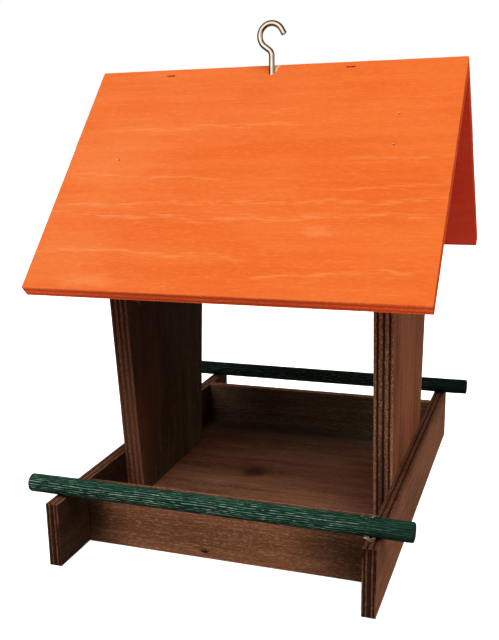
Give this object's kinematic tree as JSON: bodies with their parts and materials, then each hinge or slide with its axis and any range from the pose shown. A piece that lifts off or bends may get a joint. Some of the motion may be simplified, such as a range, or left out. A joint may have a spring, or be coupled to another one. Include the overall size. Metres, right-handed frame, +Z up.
{
  "type": "bird feeder",
  "caption": "Hanging bird feeder in stained plywood: open tray on long rails, gabled uprights, pitched roof, round perches and a turning screw hook.",
  "frame": {"origin": "on the ground under the middle of the feeder, in the plane of the undersides of the rails, boards and floor", "axes": "+X along the ridge to the right, +Y from the front to the back, +Z up"},
  "size_m": [0.3, 0.376, 0.3967],
  "materials": {
    "orange_stain": "thin plywood under an orange translucent stain, satin, grain along the ridge",
    "brown_stain": "plywood under a dark walnut stain, satin, plies seen on the cut edges",
    "green_stain": "round wooden rod with rough open grain under a dark green stain, matt",
    "plated_wire": "yellow-plated steel wire, bright",
    "steel_fastener": "plain wire staples and brads"
  },
  "bodies": {
    "feeder": {"back_board": "brown_stain", "back_board_staple": "steel_fastener", "back_perch": "green_stain", "batten_brad_left": "steel_fastener", "batten_brad_right": "steel_fastener", "floor_brad_left_back": "steel_fastener", "floor_brad_left_front": "steel_fastener", "floor_brad_right_back": "steel_fastener", "floor_brad_right_front": "steel_fastener", "floor_panel": "brown_stain", "front_board": "brown_stain", "front_board_staple": "steel_fastener", "front_perch": "green_stain", "left_rail": "brown_stain", "left_upright": "brown_stain", "perch_staple_back_left": "steel_fastener", "perch_staple_back_right": "steel_fastener", "perch_staple_front_left": "steel_fastener", "perch_staple_front_right": "steel_fastener", "rail_brad_left_back_1": "steel_fastener", "rail_brad_left_back_2": "steel_fastener", "rail_brad_left_front_1": "steel_fastener", "rail_brad_left_front_2": "steel_fastener", "rail_brad_right_back_1": "steel_fastener", "rail_brad_right_back_2": "steel_fastener", "rail_brad_right_front_1": "steel_fastener", "rail_brad_right_front_2": "steel_fastener", "ridge_batten": "brown_stain", "ridge_staple_left": "steel_fastener", "ridge_staple_right": "steel_fastener", "right_rail": "brown_stain", "right_upright": "brown_stain", "roof_back_panel": "orange_stain", "roof_brad_back_left_1": "steel_fastener", "roof_brad_back_left_2": "steel_fastener", "roof_brad_back_right_1": "steel_fastener", "roof_brad_back_right_2": "steel_fastener", "roof_brad_front_left_1": "steel_fastener", "roof_brad_front_left_2": "steel_fastener", "roof_brad_front_right_1": "steel_fastener", "roof_brad_front_right_2": "steel_fastener", "roof_front_panel": "orange_stain", "upright_brad_left_back": "steel_fastener", "upright_brad_left_front": "steel_fastener", "upright_brad_right_back": "steel_fastener", "upright_brad_right_front": "steel_fastener"},
    "hook": {"screw_hook": "plated_wire"}
  },
  "joints": [
    {"name": "hook_turn", "type": "hinge", "parent": "feeder", "child": "hook", "pos_m": [0, -0.005, 0.3635], "axis": [0, 0, 1], "range_deg": [-90, 90]}
  ]
}
